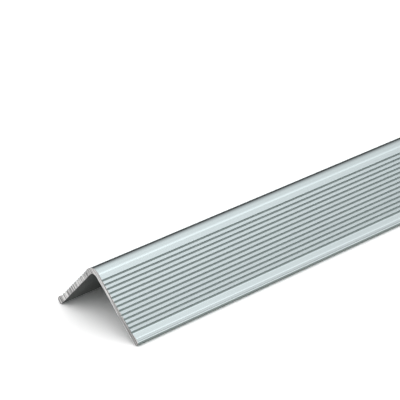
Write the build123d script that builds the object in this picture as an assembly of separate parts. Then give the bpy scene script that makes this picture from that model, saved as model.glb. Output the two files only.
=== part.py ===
from build123d import *
from math import sqrt
import os

# Ribbed angle: one straight length of extruded aluminium corner section.
# It lies corner up on the tips of its two legs, with its origin on the floor
# below the middle of the bar, X along the bar and Z up.

# Driving dimensions, in millimetres.
length = 1000.0            # the bar, from saw cut to saw cut
leg = 25.0                 # flat outside of one leg to the tip of the other
wall = 1.7                 # leg thickness, from the lands to the inside face
inner_radius = 2.0         # round inside the corner

nose_flat = 1.7            # smooth strip, from the end of the nose round to the first groove's middle
groove_pitch = 1.33        # middle of one groove to the middle of the next
groove_mouth = 0.56        # width of a groove at the lands
groove_floor = 0.36        # width of its floor, before the roots are rounded
groove_depth = 0.38
land_radius = 0.08         # edge between a groove's side and the land
root_radius = 0.08         # edge between a groove's side and its floor
plain_band = 0.45          # least smooth strip, from the last groove's middle to the lip's slope

lip_slope = 1.45           # run of the slope from the lands up to the lip
lip_width = 1.65           # thicker lip, from the top of its slope to the tip
lip_rise = 0.4             # height of the lip above the lands
slope_foot_radius = 0.8    # bend from the lands into the slope
slope_top_radius = 2.0     # bend from the slope onto the lip
lip_radius = 1.0           # outer edge of the tip
tip_radius = 0.6           # inner edge of the tip, which the bar lies on

# Worked out from the dimensions above.
outer_radius = inner_radius + wall
slope_start = leg - lip_width - lip_slope
first_groove = outer_radius + nose_flat
groove_field = slope_start - plain_band - first_groove
groove_count = int(groove_field / groove_pitch) + 1
groove_places = [first_groove + step * groove_pitch for step in range(groove_count)]
corner_height = (leg + wall - 2 * tip_radius) / sqrt(2) + tip_radius

# The section is drawn with the flat outsides of its legs on the sketch's two
# axes. X runs along one leg, and swapping X and Y gives the same point of the
# other leg.
SAME_POINT = 1e-5


def on_both_legs(points):
    """Return points of the X leg, followed by the same points of the Y leg."""
    return points + [(y, x) for x, y in points]


def rounded(section, corners, radius):
    """Return the section with the named corners rounded to one radius."""
    targets = [Vector(x, y) for x, y in corners]
    chosen = [
        vertex
        for vertex in section.vertices()
        if any((Vector(*vertex) - target).length < SAME_POINT for target in targets)
    ]
    return fillet(chosen, radius)


def plain_section():
    """Return the angle with its lips and no grooves, every corner rounded."""
    slope_foot = (slope_start, 0)
    slope_top = (leg - lip_width, -lip_rise)
    lip_edge = (leg, -lip_rise)
    tip_edge = (leg, wall)
    inner_corner = (wall, wall)
    one_leg = [slope_foot, slope_top, lip_edge, tip_edge]
    other_leg = [(y, x) for x, y in reversed(one_leg)]
    section = make_face(Polyline((0, 0), *one_leg, inner_corner, *other_leg, close=True))
    section = rounded(section, [(0, 0)], outer_radius)
    section = rounded(section, [inner_corner], inner_radius)
    section = rounded(section, on_both_legs([slope_foot]), slope_foot_radius)
    section = rounded(section, on_both_legs([slope_top]), slope_top_radius)
    section = rounded(section, on_both_legs([lip_edge]), lip_radius)
    return rounded(section, on_both_legs([tip_edge]), tip_radius)


def groove(place, mirrored):
    """Return one tapered groove in a leg's outer face, open at the land."""
    mouth_edges = [(place - groove_mouth / 2, 0), (place + groove_mouth / 2, 0)]
    floor_edges = [(place + groove_floor / 2, groove_depth), (place - groove_floor / 2, groove_depth)]
    outline = mouth_edges + floor_edges
    if mirrored:
        outline = [(y, x) for x, y in reversed(outline)]
    return make_face(Polyline(*outline, close=True))


def ribbed_section():
    """Return the whole section, with its grooves and their rounded edges."""
    grooves = [groove(place, mirrored) for mirrored in (False, True) for place in groove_places]
    section = plain_section() - grooves
    land_edges = []
    root_edges = []
    for place in groove_places:
        for side in (-1, 1):
            land_edges.append((place + side * groove_mouth / 2, 0))
            root_edges.append((place + side * groove_floor / 2, groove_depth))
    section = rounded(section, on_both_legs(land_edges), land_radius)
    return rounded(section, on_both_legs(root_edges), root_radius)


# The near end's plane: its two axes run down the two legs, and the bar is
# extruded along +X.
near_end = Plane(origin=(-length / 2, 0, corner_height), x_dir=(0, -1, -1), z_dir=(1, 0, 0))
ribbed_angle = extrude(near_end * ribbed_section(), amount=length)

os.makedirs("parts", exist_ok=True)
export_step(ribbed_angle, "parts/ribbed_angle.step")
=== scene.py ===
"""Looks for one bar of ribbed aluminium angle, lying corner up on its two tips.

Its node is replaced by a finer sweep of the same section, which Geometry Nodes
make from the section's sizes. That sweep gets three finishes: satin anodising
outside, with painted shade in its grooves and at the foot of each tip; the
same film rougher on the hidden inside, with a darker grey of painted shade;
and bare sawn metal on the two cut ends.
"""

from __future__ import annotations

import logging
import math
from collections.abc import Iterable, Mapping
from dataclasses import dataclass, field
from enum import IntEnum
from typing import Any

import bpy
from mathutils import Matrix, Vector

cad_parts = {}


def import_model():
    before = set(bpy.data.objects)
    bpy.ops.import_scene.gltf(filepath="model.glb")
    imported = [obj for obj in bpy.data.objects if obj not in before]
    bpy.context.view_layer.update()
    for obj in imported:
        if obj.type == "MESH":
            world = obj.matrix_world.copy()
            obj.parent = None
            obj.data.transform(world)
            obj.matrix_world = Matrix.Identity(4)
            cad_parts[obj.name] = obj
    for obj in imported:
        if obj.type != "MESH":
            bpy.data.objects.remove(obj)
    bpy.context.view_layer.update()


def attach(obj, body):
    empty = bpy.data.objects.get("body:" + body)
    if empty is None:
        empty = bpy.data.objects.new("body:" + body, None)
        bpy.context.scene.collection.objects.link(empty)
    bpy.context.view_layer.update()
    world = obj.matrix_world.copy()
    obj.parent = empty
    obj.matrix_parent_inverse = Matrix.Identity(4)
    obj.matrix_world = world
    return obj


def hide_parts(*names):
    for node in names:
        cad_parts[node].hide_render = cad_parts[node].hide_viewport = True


LOG = logging.getLogger("ribbed_angle")
MM = 0.001
GROOVE_MARK = "groove"

MATH = "ShaderNodeMath"
MIX = "ShaderNodeMix"
RANGE = "ShaderNodeMapRange"
VECTOR = "ShaderNodeCombineXYZ"
SPLIT = "ShaderNodeSeparateXYZ"
CHOICE = "GeometryNodeIndexSwitch"

# A Mix node's sockets go by their places, because they share their names.
FIRST_VALUE, SECOND_VALUE = 2, 3
FIRST_COLOUR, SECOND_COLOUR, MIXED_COLOUR = 6, 7, 2


def linear_colour(hex_code: str) -> tuple[float, float, float, float]:
    """Turns an sRGB hex colour into Blender's linear colour.

    Args:
        hex_code: Colour such as "#C8D2D4".

    Returns:
        Linear red, green and blue, and an alpha of 1.
    """
    codes = [int(hex_code[at : at + 2], 16) / 255 for at in (1, 3, 5)]
    red, green, blue = (
        code / 12.92 if code <= 0.04045 else ((code + 0.055) / 1.055) ** 2.4
        for code in codes
    )
    return red, green, blue, 1.0


def add_node(
    tree: bpy.types.NodeTree,
    kind: str,
    settings: Mapping[str, Any] | None = None,
    inputs: Mapping[str | int, Any] | None = None,
    choices: int = 2,
) -> bpy.types.Node:
    """Adds one node with its settings, and fills or links its inputs.

    Args:
        tree: Node tree that gets the node.
        kind: Blender's type name of the node.
        settings: The node's own settings by name.
        inputs: Inputs by name or place. A socket is linked, and so is a node, by
            its first output; all else is a value.
        choices: Number of choices on a switch that takes more than two.

    Returns:
        The new node.
    """
    node = tree.nodes.new(kind)
    for name, value in (settings or {}).items():
        setattr(node, name, value)
    for _ in range(choices - 2):
        node.index_switch_items.new()
    for key, value in (inputs or {}).items():
        if isinstance(value, bpy.types.Node):
            value = value.outputs[0]
        if isinstance(value, bpy.types.NodeSocket):
            tree.links.new(value, node.inputs[key])
        else:
            node.inputs[key].default_value = value
    return node


@dataclass(frozen=True)
class MarkedMetal:
    """Aluminium 6063 in two tones, with the fine marks of how it was worked.

    The marks are noise drawn out along one line. They pick between the two
    tones, and stand up from the surface as a faint relief.
    """

    name: str
    colour: str
    dull_colour: str
    roughness: float
    mark_mm: tuple[float, float, float]  # along the bar, across it and up
    mark_height_mm: float
    mark_turn: float = 0.0  # degrees round the bar's line
    mark_octaves: float = 3.0
    mark_grit: float = 0.6  # how strong the finer octaves are

    def draw_marks(
        self, tree: bpy.types.NodeTree, place: bpy.types.NodeSocket
    ) -> bpy.types.NodeSocket:
        """Draws the marks.

        Args:
            tree: The material's nodes.
            place: The place on the bar.

        Returns:
            The marks, from 0 where the metal is low and dull to 1.
        """
        drawn = add_node(
            tree,
            "ShaderNodeMapping",
            {"vector_type": "TEXTURE"},
            {
                "Vector": place,
                "Rotation": (math.radians(self.mark_turn), 0.0, 0.0),
                "Scale": [size * MM for size in self.mark_mm],
            },
        )
        return add_node(
            tree,
            "ShaderNodeTexNoise",
            inputs={
                "Vector": drawn,
                "Scale": 1.0,
                "Detail": self.mark_octaves,
                "Roughness": self.mark_grit,
            },
        ).outputs["Fac"]

    def start(
        self,
    ) -> tuple[bpy.types.Material, bpy.types.NodeSocket, bpy.types.NodeSocket]:
        """Starts the material, as metal with the relief of its marks.

        Returns:
            The material, its marks, and its two tones, which aren't linked yet.
        """
        finish = bpy.data.materials.new(self.name)
        finish.use_nodes = True
        tree = finish.node_tree
        shader = tree.nodes["Principled BSDF"]
        shader.inputs["Metallic"].default_value = 1.0
        shader.inputs["Roughness"].default_value = self.roughness
        place = add_node(tree, "ShaderNodeTexCoord").outputs["Object"]
        marks = self.draw_marks(tree, place)
        tones = add_node(
            tree,
            MIX,
            {"data_type": "RGBA"},
            {
                0: marks,
                FIRST_COLOUR: linear_colour(self.dull_colour),
                SECOND_COLOUR: linear_colour(self.colour),
            },
        ).outputs[MIXED_COLOUR]
        relief = add_node(
            tree,
            "ShaderNodeBump",
            inputs={"Height": marks, "Distance": self.mark_height_mm * MM},
        ).outputs["Normal"]
        tree.links.new(relief, shader.inputs["Normal"])
        return finish, marks, tones

    def material(self) -> bpy.types.Material:
        """Makes the material.

        Returns:
            The finish, patterned on Object coordinates.
        """
        finish, _, tones = self.start()
        tree = finish.node_tree
        tree.links.new(tones, tree.nodes["Principled BSDF"].inputs["Base Color"])
        return finish


@dataclass(frozen=True)
class SatinAnodising(MarkedMetal):
    """Aluminium 6063, extruded through a die, etched satin and clear anodised.

    The etch leaves a soft, even sheen with no mirror image in it. The die draws
    faint lines along the bar, and the clear film cools the grey a little. The
    grooves and a band at the foot of each tip are rougher, and the darker grey
    there is painted shade.
    """

    name: str = "satin_anodised_aluminium"
    colour: str = "#DCE7E9"
    dull_colour: str = "#D3DFE1"
    roughness: float = 0.16
    # Real die lines are 0.1 mm apart, too fine to show, so these are coarser.
    mark_mm: tuple[float, float, float] = (160.0, 0.5, 0.5)
    mark_height_mm: float = 0.0012
    mark_octaves: float = 2.0
    usual_marks: tuple[float, float] = (0.3, 0.7)  # nearly all lie between these
    roughness_spread: float = 0.04  # from the one to the other
    # Darker grey in the grooves: painted shade.
    groove_painted_shade: str = "#949F9E"
    groove_roughness: float = 0.5
    # Darker grey band at the foot of each tip, below a set height: painted shade.
    foot_painted_shade: str = "#7C8684"
    foot_height_mm: float = 1.36
    foot_fade_mm: float = 0.136  # above the foot

    def material(self) -> bpy.types.Material:
        """Makes the material; its grooves and the feet of its tips get more roughness
        and painted shade.

        Returns:
            The finish, patterned on Object coordinates.
        """
        finish, lines, colour = self.start()
        tree = finish.node_tree
        shader = tree.nodes["Principled BSDF"]
        low, high = self.usual_marks
        sheen = add_node(
            tree,
            RANGE,
            inputs={
                "Value": lines,
                "From Min": low,
                "From Max": high,
                "To Min": self.roughness - self.roughness_spread / 2,
                "To Max": self.roughness + self.roughness_spread / 2,
            },
        )
        groove = add_node(
            tree, "ShaderNodeAttribute", {"attribute_name": GROOVE_MARK}
        ).outputs["Fac"]
        place = add_node(tree, "ShaderNodeTexCoord").outputs["Object"]
        height = add_node(tree, SPLIT, inputs={0: place}).outputs["Z"]
        foot = add_node(
            tree,
            RANGE,
            inputs={
                "Value": height,
                "From Min": (self.foot_height_mm + self.foot_fade_mm) * MM,
                "From Max": self.foot_height_mm * MM,
            },
        )
        # Painted shade: the grooves and the feet of the tips are mixed towards darker
        # greys.
        for share, tone in ((groove, self.groove_painted_shade), (foot, self.foot_painted_shade)):
            colour = add_node(
                tree,
                MIX,
                {"data_type": "RGBA"},
                {0: share, FIRST_COLOUR: colour, SECOND_COLOUR: linear_colour(tone)},
            ).outputs[MIXED_COLOUR]
        dull = add_node(tree, MATH, {"operation": "MAXIMUM"}, {0: groove, 1: foot})
        roughness = add_node(
            tree,
            MIX,
            inputs={0: dull, FIRST_VALUE: sheen, SECOND_VALUE: self.groove_roughness},
        ).outputs[0]
        tree.links.new(colour, shader.inputs["Base Color"])
        tree.links.new(roughness, shader.inputs["Roughness"])
        return finish


@dataclass(frozen=True)
class PaintedShadeInside(MarkedMetal):
    """The same 6063 extrusion on its hidden inside, where nothing was smoothed.

    The die's pressure marks stay, so the anodised film there is rougher. Its
    darker, plainer grey is painted shade for the shaded inside of the bar.
    """

    name: str = "anodised_inside_painted_shade"
    # Both tones are darker than the satin outside's: painted shade.
    colour: str = "#6F7573"
    dull_colour: str = "#5C6260"
    roughness: float = 0.22
    # Real pressure marks are 0.2 mm apart, too fine to show, so these are coarser.
    mark_mm: tuple[float, float, float] = (90.0, 0.9, 0.9)
    mark_height_mm: float = 0.003


@dataclass(frozen=True)
class SawnMetal(MarkedMetal):
    """Bare aluminium 6063, cut square by a fine-toothed saw after anodising.

    The cut is a neutral grey, duller than the satin faces, with straight fine
    strokes left side by side by the teeth.
    """

    name: str = "sawn_bare_aluminium"
    colour: str = "#DAD9D8"
    dull_colour: str = "#737272"
    roughness: float = 0.5
    # Real strokes are 0.2 mm apart, too fine to show, so these are coarser.
    mark_mm: tuple[float, float, float] = (14.0, 0.42, 14.0)
    mark_height_mm: float = 0.012
    mark_turn: float = -43.0
    stroke_softness: float = 0.16  # part of the noise that blurs a stroke's edge

    def draw_marks(
        self, tree: bpy.types.NodeTree, place: bpy.types.NodeSocket
    ) -> bpy.types.NodeSocket:
        """Draws the strokes, which have crisper edges than marks from a die.

        Args:
            tree: The material's nodes.
            place: The place on the bar.

        Returns:
            The strokes, from 0 where the metal is low and dull to 1.
        """
        return add_node(
            tree,
            RANGE,
            inputs={
                "Value": super().draw_marks(tree, place),
                "From Min": 0.5 - self.stroke_softness / 2,
                "From Max": 0.5 + self.stroke_softness / 2,
            },
        ).outputs["Result"]


class Zone(IntEnum):
    """The parts of the outline, in their order from the nose to the inside corner."""

    NOSE = 0
    GROOVES = 1
    LIP = 2
    INSIDE = 3


@dataclass(frozen=True)
class Numbering:
    """Nodes that count the outline's corners, and say which one a point is."""

    groove_corners: bpy.types.Node  # on all the grooves of one leg
    leg_corners: bpy.types.Node  # on those and the leg's lip
    last: bpy.types.Node  # number of the last point
    station: bpy.types.Node  # -1 at the nose, and one more each corner down a leg
    side: bpy.types.Node  # -1 on the first leg, 1 on the second
    groove: bpy.types.Node  # which groove
    turn: bpy.types.Node  # which corner of a groove or lip, from 0


class SectionSweep:
    """The node tree that lays out the section's corners, rounds and sweeps them.

    One point stands at each sharp corner of the outline, numbered from the nose
    down one leg, round the inside corner and up the other leg. A corner is a
    vector of its place along its leg, its depth below the ribbed face, and the
    radius of its round.
    """

    CORNERS = 4  # of a groove, and of a lip
    LEAN = math.sqrt(0.5)  # sine and cosine of the legs' 45 degrees
    LOOKS_DOWN = -0.5  # a face whose normal is lower than this looks down
    LOOKS_OUT = 1e-7  # one whose normal is past this looks away from the middle
    LOOKS_ALONG = 0.9  # one whose normal is past this looks along the bar

    def __init__(self, lengths: Iterable[str]) -> None:
        """Opens the tree, with a named input for each size and each finish.

        Args:
            lengths: Names of the section's lengths.
        """
        self.tree = bpy.data.node_groups.new("ribbed_angle_sweep", "GeometryNodeTree")
        kinds = {
            "Geometry": "Geometry",
            **dict.fromkeys(lengths, "Float"),
            "Grooves": "Int",
            "Facets": "Float",
            **dict.fromkeys(("Satin", "Inside", "Sawn"), "Material"),
        }
        face = self.tree.interface
        for name, kind in kinds.items():
            face.new_socket(name, in_out="INPUT", socket_type=f"NodeSocket{kind}")
        face.new_socket("Geometry", in_out="OUTPUT", socket_type="NodeSocketGeometry")
        self.size = add_node(self.tree, "NodeGroupInput").outputs

    def build(self) -> bpy.types.NodeTree:
        """Adds every stage, from the numbered corners to the dressed bar.

        Returns:
            The tree, with named inputs for the sizes and the three finishes.
        """
        numbers = self.number_corners()
        zone = self.find_zone(numbers)
        corner = self.choose_corner(numbers, zone)
        points = self.stand_points(numbers, zone, corner)
        bar = self.sweep(self.round_outline(points))
        add_node(self.tree, "NodeGroupOutput", inputs={0: self.lay_finishes(bar)})
        return self.tree

    def number_corners(self) -> Numbering:
        """Counts the corners, and numbers them down each leg from the nose.

        Returns:
            The counts, and each point's place in them.
        """
        tree, each = self.tree, float(self.CORNERS)
        groove_corners = add_node(
            tree, MATH, {"operation": "MULTIPLY"}, {0: self.size["Grooves"], 1: each}
        )
        leg_corners = add_node(
            tree, MATH, {"operation": "ADD"}, {0: groove_corners, 1: each}
        )
        last = add_node(
            tree, MATH, {"operation": "MULTIPLY_ADD"}, {0: leg_corners, 1: 2.0, 2: 1.0}
        )
        index = add_node(tree, "GeometryNodeInputIndex")
        down = add_node(tree, MATH, {"operation": "SUBTRACT"}, {0: index, 1: 1.0})
        back = add_node(tree, MATH, {"operation": "SUBTRACT"}, {0: last, 1: index})
        station = add_node(tree, MATH, {"operation": "MINIMUM"}, {0: down, 1: back})
        past_inside = add_node(
            tree, MATH, {"operation": "GREATER_THAN"}, {0: index, 1: leg_corners}
        )
        side = add_node(
            tree, MATH, {"operation": "MULTIPLY_ADD"}, {0: past_inside, 1: 2.0, 2: -1.0}
        )
        grooves_down = add_node(
            tree, MATH, {"operation": "DIVIDE"}, {0: station, 1: each}
        )
        groove = add_node(tree, MATH, {"operation": "FLOOR"}, {0: grooves_down})
        turn = add_node(
            tree, MATH, {"operation": "MULTIPLY_ADD"}, {0: groove, 1: -each, 2: station}
        )
        return Numbering(groove_corners, leg_corners, last, station, side, groove, turn)

    def find_zone(self, numbers: Numbering) -> bpy.types.Node:
        """Finds each point's zone: one more for each boundary that it has passed.

        Args:
            numbers: The corners' numbering.

        Returns:
            The zone's number.
        """
        zone: Any = float(Zone.NOSE)
        for boundary in (0.0, numbers.groove_corners, numbers.leg_corners):
            edge = add_node(
                self.tree, MATH, {"operation": "SUBTRACT"}, {0: boundary, 1: 0.5}
            )
            passed = add_node(
                self.tree,
                MATH,
                {"operation": "GREATER_THAN"},
                {0: numbers.station, 1: edge},
            )
            zone = add_node(self.tree, MATH, {"operation": "ADD"}, {0: zone, 1: passed})
        return zone

    def lay_groove(self, numbers: Numbering) -> list[bpy.types.Node]:
        """Lays out a groove's four corners: land, root, root, land.

        Args:
            numbers: The corners' numbering.

        Returns:
            The corners, in their order down the leg.
        """
        size = self.size
        centre = add_node(
            self.tree,
            MATH,
            {"operation": "MULTIPLY_ADD"},
            {0: numbers.groove, 1: size["Groove Pitch"], 2: size["First Groove"]},
        )
        corners = []
        for width, share, depth, radius in (
            ("Groove Mouth", -0.5, 0.0, "Land Radius"),
            ("Groove Floor", -0.5, size["Groove Depth"], "Root Radius"),
            ("Groove Floor", 0.5, size["Groove Depth"], "Root Radius"),
            ("Groove Mouth", 0.5, 0.0, "Land Radius"),
        ):
            along = add_node(
                self.tree,
                MATH,
                {"operation": "MULTIPLY_ADD"},
                {0: size[width], 1: share, 2: centre},
            )
            corner = {0: along, 1: depth, 2: size[radius]}
            corners.append(add_node(self.tree, VECTOR, inputs=corner))
        return corners

    def lay_lip(self) -> list[bpy.types.Node]:
        """Lays out a lip's four corners: its slope's foot and top, its tip's edges.

        Returns:
            The corners, in their order down the leg.
        """
        tree, size = self.tree, self.size
        slope_top = add_node(
            tree,
            MATH,
            {"operation": "SUBTRACT"},
            {0: size["Leg"], 1: size["Lip Width"]},
        )
        slope_foot = add_node(
            tree, MATH, {"operation": "SUBTRACT"}, {0: slope_top, 1: size["Lip Slope"]}
        )
        proud = add_node(
            tree, MATH, {"operation": "MULTIPLY"}, {0: size["Lip Rise"], 1: -1.0}
        )
        return [
            add_node(tree, VECTOR, inputs={0: along, 1: depth, 2: size[radius]})
            for along, depth, radius in (
                (slope_foot, 0.0, "Slope Foot Radius"),
                (slope_top, proud, "Slope Top Radius"),
                (size["Leg"], proud, "Lip Radius"),
                (size["Leg"], size["Wall"], "Tip Radius"),
            )
        ]

    def choose_corner(
        self, numbers: Numbering, zone: bpy.types.Node
    ) -> bpy.types.Node:
        """Chooses each point's corner, by its zone and its turn in a groove or lip.

        Args:
            numbers: The corners' numbering.
            zone: Each point's zone.

        Returns:
            The corner.
        """
        tree, wall = self.tree, self.size["Wall"]
        groove, lip = (
            add_node(
                tree,
                CHOICE,
                {"data_type": "VECTOR"},
                {"Index": numbers.turn, **dict(enumerate(corners, 1))},
                choices=self.CORNERS,
            )
            for corners in (self.lay_groove(numbers), self.lay_lip())
        )
        nose = add_node(tree, VECTOR, inputs={2: self.size["Nose Radius"]})
        inside = add_node(
            tree, VECTOR, inputs={0: wall, 1: wall, 2: self.size["Inner Radius"]}
        )
        return add_node(
            tree,
            CHOICE,
            {"data_type": "VECTOR"},
            {
                "Index": zone,
                1 + Zone.NOSE: nose,
                1 + Zone.GROOVES: groove,
                1 + Zone.LIP: lip,
                1 + Zone.INSIDE: inside,
            },
            choices=len(Zone),
        )

    def stand_points(
        self, numbers: Numbering, zone: bpy.types.Node, corner: bpy.types.Node
    ) -> bpy.types.Node:
        """Stands the legs at 45 degrees with the nose on top.

        Args:
            numbers: The corners' numbering.
            zone: Each point's zone.
            corner: Each point's corner.

        Returns:
            The points. Those at the grooves' roots are marked, to be made rougher and
            darker with painted shade.
        """
        tree = self.tree
        along, depth, radius = add_node(tree, SPLIT, inputs={0: corner}).outputs
        level = add_node(tree, MATH, {"operation": "SUBTRACT"}, {0: along, 1: depth})
        slant = add_node(
            tree, MATH, {"operation": "MULTIPLY"}, {0: numbers.side, 1: self.LEAN}
        )
        outward = add_node(tree, MATH, {"operation": "MULTIPLY"}, {0: level, 1: slant})
        total = add_node(tree, MATH, {"operation": "ADD"}, {0: along, 1: depth})
        height = add_node(
            tree,
            MATH,
            {"operation": "MULTIPLY_ADD"},
            {0: total, 1: -self.LEAN, 2: self.size["Corner Height"]},
        )
        place = add_node(tree, VECTOR, inputs={0: outward, 1: height})
        count = add_node(tree, MATH, {"operation": "ADD"}, {0: numbers.last, 1: 1.0})
        points = add_node(
            tree,
            "GeometryNodePoints",
            inputs={"Count": count, "Position": place, "Radius": radius},
        )
        grooved = add_node(
            tree,
            "FunctionNodeCompare",
            {"operation": "EQUAL"},
            {0: zone, 1: float(Zone.GROOVES)},
        )
        sunk = add_node(tree, MATH, {"operation": "GREATER_THAN"}, {0: depth, 1: 0.0})
        root = add_node(tree, MATH, {"operation": "MULTIPLY"}, {0: grooved, 1: sunk})
        return add_node(
            tree,
            "GeometryNodeStoreNamedAttribute",
            {"data_type": "FLOAT", "domain": "POINT"},
            {0: points, "Name": GROOVE_MARK, "Value": root},
        )

    def round_outline(self, points: bpy.types.Node) -> bpy.types.Node:
        """Closes the outline, and rounds each corner by its own radius.

        Args:
            points: The section's corners.

        Returns:
            The rounded outline, with more flats on a larger round.
        """
        tree = self.tree
        outline = add_node(tree, "GeometryNodePointsToCurves", inputs={0: points})
        closed = add_node(
            tree, "GeometryNodeSetSplineCyclic", inputs={0: outline, "Cyclic": True}
        )
        bend = add_node(tree, "GeometryNodeInputRadius")
        bend_mm = add_node(tree, MATH, {"operation": "DIVIDE"}, {0: bend, 1: MM})
        growth = add_node(tree, MATH, {"operation": "SQRT"}, {0: bend_mm})
        flats = add_node(
            tree, MATH, {"operation": "MULTIPLY"}, {0: growth, 1: self.size["Facets"]}
        )
        return add_node(
            tree,
            "GeometryNodeFilletCurve",
            {"mode": "POLY"},
            {"Curve": closed, "Count": flats, "Radius": bend},
        )

    def sweep(self, outline: bpy.types.Node) -> bpy.types.Node:
        """Sweeps the outline upright, caps it, and lays the bar down along X.

        Args:
            outline: The rounded outline.

        Returns:
            The bar, flat shaded, with no instances left.
        """
        tree = self.tree
        foot, top = (
            add_node(
                tree,
                "ShaderNodeVectorMath",
                {"operation": "SCALE"},
                {0: (0.0, 0.0, share), "Scale": self.size["Length"]},
            )
            for share in (-0.5, 0.5)
        )
        spine = add_node(
            tree,
            "GeometryNodeCurvePrimitiveLine",
            inputs={"Start": foot, "End": top},
        )
        swept = add_node(
            tree,
            "GeometryNodeCurveToMesh",
            inputs={"Curve": spine, "Profile Curve": outline, "Fill Caps": True},
        )
        quarter_turn = math.radians(90)
        laid = add_node(
            tree,
            "GeometryNodeTransform",
            inputs={"Geometry": swept, "Rotation": (quarter_turn, 0.0, quarter_turn)},
        )
        flat = add_node(
            tree,
            "GeometryNodeSetShadeSmooth",
            inputs={"Geometry": laid, "Shade Smooth": False},
        )
        return add_node(tree, "GeometryNodeRealizeInstances", inputs={0: flat})

    def lay_finishes(self, bar: bpy.types.Node) -> bpy.types.Node:
        """Makes the bar satin, rougher inside with a darker grey of painted shade, and
        sawn at both ends.

        The faces that look down and to the middle are the inside, and those
        that look along the bar are its ends.

        Args:
            bar: The swept bar.

        Returns:
            The dressed bar.
        """
        tree = self.tree
        normal = add_node(tree, "GeometryNodeInputNormal")
        along, across, upward = add_node(tree, SPLIT, inputs={0: normal}).outputs
        spot = add_node(tree, "GeometryNodeInputPosition")
        aside = add_node(tree, SPLIT, inputs={0: spot}).outputs["Y"]
        outward = add_node(tree, MATH, {"operation": "MULTIPLY"}, {0: across, 1: aside})
        to_middle = add_node(
            tree, MATH, {"operation": "LESS_THAN"}, {0: outward, 1: self.LOOKS_OUT}
        )
        downward = add_node(
            tree, MATH, {"operation": "LESS_THAN"}, {0: upward, 1: self.LOOKS_DOWN}
        )
        hidden = add_node(
            tree, MATH, {"operation": "MULTIPLY"}, {0: to_middle, 1: downward}
        )
        steep = add_node(tree, MATH, {"operation": "ABSOLUTE"}, {0: along})
        cut = add_node(
            tree, MATH, {"operation": "GREATER_THAN"}, {0: steep, 1: self.LOOKS_ALONG}
        )
        for faces, finish in ((True, "Satin"), (hidden, "Inside"), (cut, "Sawn")):
            bar = add_node(
                tree,
                "GeometryNodeSetMaterial",
                inputs={0: bar, "Selection": faces, "Material": self.size[finish]},
            )
        return bar


@dataclass
class RibbedAngle:
    """The bar: its section's sizes in millimetres, its sweep and its finishes."""

    length: float = 1000.0
    leg: float = 25.0
    wall: float = 1.7
    nose_radius: float = 3.7
    inner_radius: float = 2.0
    first_groove: float = 5.4
    groove_pitch: float = 1.33
    groove_count: int = 13
    groove_mouth: float = 0.56
    groove_floor: float = 0.36
    groove_depth: float = 0.38
    land_radius: float = 0.08
    root_radius: float = 0.08
    lip_width: float = 1.65
    lip_slope: float = 1.45
    lip_rise: float = 0.4
    slope_foot_radius: float = 0.8
    slope_top_radius: float = 2.0
    lip_radius: float = 1.0
    tip_radius: float = 0.6
    facets: float = 40.0  # flats on a bend of 1 mm radius, more on a larger one
    satin: SatinAnodising = field(default_factory=SatinAnodising)
    inside: PaintedShadeInside = field(default_factory=PaintedShadeInside)
    sawn: SawnMetal = field(default_factory=SawnMetal)

    @property
    def corner_height(self) -> float:
        """Height of the legs' sharp outer corner above the floor, before its round."""
        slant = self.leg + self.wall - 2 * self.tip_radius
        return slant / math.sqrt(2) + self.tip_radius

    def sizes(self) -> dict[str, float]:
        """Gathers what the node tree takes, in metres and under its inputs' names.

        Returns:
            Each length by its input's name.
        """
        lengths = {
            "Length": self.length,
            "Corner Height": self.corner_height,
            "Leg": self.leg,
            "Wall": self.wall,
            "Nose Radius": self.nose_radius,
            "Inner Radius": self.inner_radius,
            "First Groove": self.first_groove,
            "Groove Pitch": self.groove_pitch,
            "Groove Mouth": self.groove_mouth,
            "Groove Floor": self.groove_floor,
            "Groove Depth": self.groove_depth,
            "Land Radius": self.land_radius,
            "Root Radius": self.root_radius,
            "Lip Width": self.lip_width,
            "Lip Slope": self.lip_slope,
            "Lip Rise": self.lip_rise,
            "Slope Foot Radius": self.slope_foot_radius,
            "Slope Top Radius": self.slope_top_radius,
            "Lip Radius": self.lip_radius,
            "Tip Radius": self.tip_radius,
        }
        return {name: length * MM for name, length in lengths.items()}

    def build(self) -> bpy.types.Object:
        """Sweeps the bar and turns the result into a plain mesh.

        Returns:
            The bar at the origin, with no modifier left on it.
        """
        blank = bpy.data.objects.new("bar_sweep", bpy.data.meshes.new("bar_sweep"))
        bpy.context.scene.collection.objects.link(blank)
        sizes = self.sizes()
        tree = SectionSweep(sizes).build()
        sweep = blank.modifiers.new("sweep", "NODES")
        sweep.node_group = tree
        values: dict[str, Any] = {
            **sizes,
            "Grooves": self.groove_count,
            "Facets": self.facets,
            "Satin": self.satin.material(),
            "Inside": self.inside.material(),
            "Sawn": self.sawn.material(),
        }
        for item in tree.interface.items_tree:
            if item.name in values:
                sweep[item.identifier] = values[item.name]
        graph = bpy.context.evaluated_depsgraph_get()
        mesh = bpy.data.meshes.new_from_object(blank.evaluated_get(graph))
        bpy.data.objects.remove(blank)
        mesh.name = "ribbed_bar"
        bar = bpy.data.objects.new("ribbed_bar", mesh)
        bpy.context.scene.collection.objects.link(bar)
        return bar

    def dress(self, bar: bpy.types.Object) -> None:
        """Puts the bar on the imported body, in place of its node.

        Args:
            bar: The swept bar.
        """
        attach(bar, "root")
        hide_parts("ribbed_angle")


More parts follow.
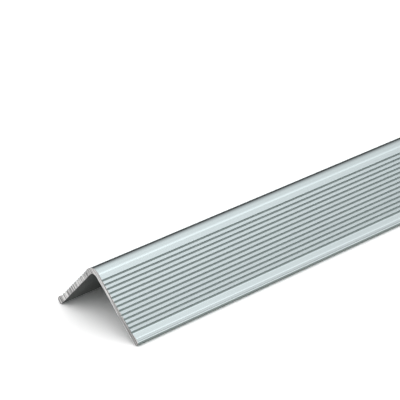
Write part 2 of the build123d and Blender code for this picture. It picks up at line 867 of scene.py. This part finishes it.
@dataclass(frozen=True)
class LightTent:
    """A half-round tent of white cloth over the bar, lit softly from outside.

    The cloth is bright overhead and dim low down at the back and the front,
    which draws the dark lines along the bar's edges. Its angles go round the
    bar, in degrees from 0 at the back floor to 180 at the front. Each stop is
    an angle and a brightness, and the near end is lit more than the far one.
    """

    radius: float = 3.0
    half_length: float = 5.0
    panels: int = 96
    first_turn: float = -2.0
    last_turn: float = 182.0
    stops: tuple[tuple[float, float], ...] = (
        (-2, 0.02),
        (16, 0.03),
        (28, 0.12),
        (41, 0.37),
        (53, 0.60),
        (65, 0.80),
        (75, 0.88),
        (84, 0.90),
        (96, 0.90),
        (104, 0.98),
        (112, 1.20),
        (120, 1.28),
        (123.5, 0.77),
        (128, 0.73),
        (137, 0.97),
        (147, 0.50),
        (157, 0.53),
        (168, 0.90),
        (178, 0.88),
    )
    near_x: float = -0.5
    far_x: float = 4.0
    near_share: float = 1.445
    far_share: float = 0.56

    def hang_cloth(self) -> bpy.types.Mesh:
        """Hangs flat panels side by side round the bar.

        Returns:
            The cloth's mesh.
        """
        rim = []
        for panel in range(self.panels + 1):
            share = panel / self.panels
            degrees = self.first_turn + (self.last_turn - self.first_turn) * share
            turn = math.radians(degrees)
            rim.append((self.radius * math.cos(turn), self.radius * math.sin(turn)))
        ends = (-self.half_length, self.half_length)
        corners = [(x, y, z) for y, z in rim for x in ends]
        faces = [(2 * n, 2 * n + 1, 2 * n + 3, 2 * n + 2) for n in range(self.panels)]
        mesh = bpy.data.meshes.new("light_tent")
        mesh.from_pydata(corners, [], faces)
        return mesh

    def glow(self) -> bpy.types.Material:
        """Makes the cloth's light, by its angle round the bar and along it.

        Returns:
            The material of the lit cloth.
        """
        glow = bpy.data.materials.new("lit_tent_cloth")
        glow.use_nodes = True
        tree = glow.node_tree
        tree.nodes.clear()
        place = add_node(tree, "ShaderNodeTexCoord").outputs["Object"]
        along, back, up = add_node(tree, SPLIT, inputs={0: place}).outputs
        turn = add_node(tree, MATH, {"operation": "ARCTAN2"}, {0: up, 1: back})
        share = add_node(
            tree,
            RANGE,
            inputs={
                "Value": turn,
                "From Min": math.radians(self.first_turn),
                "From Max": math.radians(self.last_turn),
            },
        )
        ramp = add_node(tree, "ShaderNodeValToRGB", inputs={0: share})
        ramp.color_ramp.interpolation = "EASE"
        elements = ramp.color_ramp.elements
        span = self.last_turn - self.first_turn
        places = [(degrees - self.first_turn) / span for degrees, _ in self.stops]
        for position in places[1:-1]:
            elements.new(position)
        for element, position, (_, level) in zip(elements, places, self.stops):
            element.position = position
            element.color = (level, level, level, 1.0)
        fade = add_node(
            tree,
            RANGE,
            inputs={
                "Value": along,
                "From Min": self.near_x,
                "From Max": self.far_x,
                "To Min": self.near_share,
                "To Max": self.far_share,
            },
        )
        lit = add_node(tree, "ShaderNodeEmission", inputs={0: ramp, 1: fade})
        add_node(tree, "ShaderNodeOutputMaterial", inputs={0: lit})
        return glow

    def pitch(self) -> bpy.types.Object:
        """Pitches the tent, which the camera looks through.

        Returns:
            The tent, which the camera doesn't see.
        """
        mesh = self.hang_cloth()
        mesh.materials.append(self.glow())
        tent = bpy.data.objects.new("light_tent", mesh)
        bpy.context.scene.collection.objects.link(tent)
        tent.visible_camera = False
        return tent


@dataclass
class Studio:
    """Pale floor, soft light and the camera, in metres and degrees."""

    floor_side: float = 40.0
    floor_colour: str = "#F2F2F2"
    floor_glare: float = 1.3
    camera_place: tuple[float, float, float] = (-0.764398, -0.364025, 0.249702)
    camera_aim: tuple[float, float, float] = (-0.441607, 0.024433, 0.009)
    camera_roll: float = -2.741
    camera_lens_mm: float = 170.9
    camera_sensor_mm: float = 36.0
    camera_reach: tuple[float, float] = (0.01, 100.0)
    tent: LightTent = field(default_factory=LightTent)

    def paper(self) -> bpy.types.Material:
        """Makes matt white paper, which the camera and reflections see as white.

        Returns:
            The floor's material, which still takes a shadow.
        """
        paper = bpy.data.materials.new("matt_white_paper")
        paper.use_nodes = True
        tree = paper.node_tree
        tree.nodes.clear()
        ray = add_node(tree, "ShaderNodeLightPath").outputs
        seen: Any = 0.0
        for kind in ("Is Camera Ray", "Is Glossy Ray", "Is Transmission Ray"):
            seen = add_node(
                tree, MATH, {"operation": "MAXIMUM"}, {0: seen, 1: ray[kind]}
            )
        glare = (self.floor_glare, self.floor_glare, self.floor_glare, 1.0)
        matt_white = linear_colour(self.floor_colour)
        shade = add_node(
            tree,
            MIX,
            {"data_type": "RGBA"},
            {0: seen, FIRST_COLOUR: matt_white, SECOND_COLOUR: glare},
        ).outputs[MIXED_COLOUR]
        matt = add_node(tree, "ShaderNodeBsdfDiffuse", inputs={"Color": shade})
        add_node(tree, "ShaderNodeOutputMaterial", inputs={0: matt})
        return paper

    def lay_floor(self) -> bpy.types.Object:
        """Lays the floor, which reads white and keeps the bar's shadow.

        Returns:
            The floor.
        """
        half = self.floor_side / 2
        mesh = bpy.data.meshes.new("floor")
        turns = ((-half, -half), (half, -half), (half, half), (-half, half))
        mesh.from_pydata([(x, y, 0.0) for x, y in turns], [], [(0, 1, 2, 3)])
        mesh.materials.append(self.paper())
        floor = bpy.data.objects.new("floor", mesh)
        bpy.context.scene.collection.objects.link(floor)
        return floor

    def light_world(self) -> None:
        """Fills the studio with plain white light."""
        world = bpy.data.worlds.new("studio")
        bpy.context.scene.world = world
        world.use_nodes = True
        background = world.node_tree.nodes["Background"]
        background.inputs["Color"].default_value = (1.0, 1.0, 1.0, 1.0)
        background.inputs["Strength"].default_value = 1.0

    def set_camera(self) -> bpy.types.Object:
        """Sets the camera at the near end of the bar.

        Returns:
            The camera.
        """
        optics = bpy.data.cameras.new("camera")
        optics.sensor_width = self.camera_sensor_mm
        optics.lens = self.camera_lens_mm
        optics.clip_start, optics.clip_end = self.camera_reach
        camera = bpy.data.objects.new("camera", optics)
        bpy.context.scene.collection.objects.link(camera)
        towards = Vector(self.camera_aim) - Vector(self.camera_place)
        level = towards.to_track_quat("-Z", "Y").to_matrix().to_4x4()
        roll = Matrix.Rotation(math.radians(self.camera_roll), 4, "Z")
        camera.matrix_world = Matrix.Translation(self.camera_place) @ level @ roll
        bpy.context.scene.camera = camera
        return camera

    def build(self) -> None:
        """Sets up the whole studio and the plain view of its colours."""
        bpy.context.scene.view_settings.view_transform = "Standard"
        self.light_world()
        for prop in (self.lay_floor(), self.tent.pitch(), self.set_camera()):
            LOG.info("studio: %s", prop.name)


def main() -> None:
    """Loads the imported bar, builds and dresses its looks, and lights it."""
    logging.basicConfig(level=logging.INFO, format="%(name)s: %(message)s")
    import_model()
    Studio().build()
    angle = RibbedAngle()
    bar = angle.build()
    angle.dress(bar)
    LOG.info("%s: %d faces", bar.name, len(bar.data.polygons))


if __name__ == "__main__":
    main()
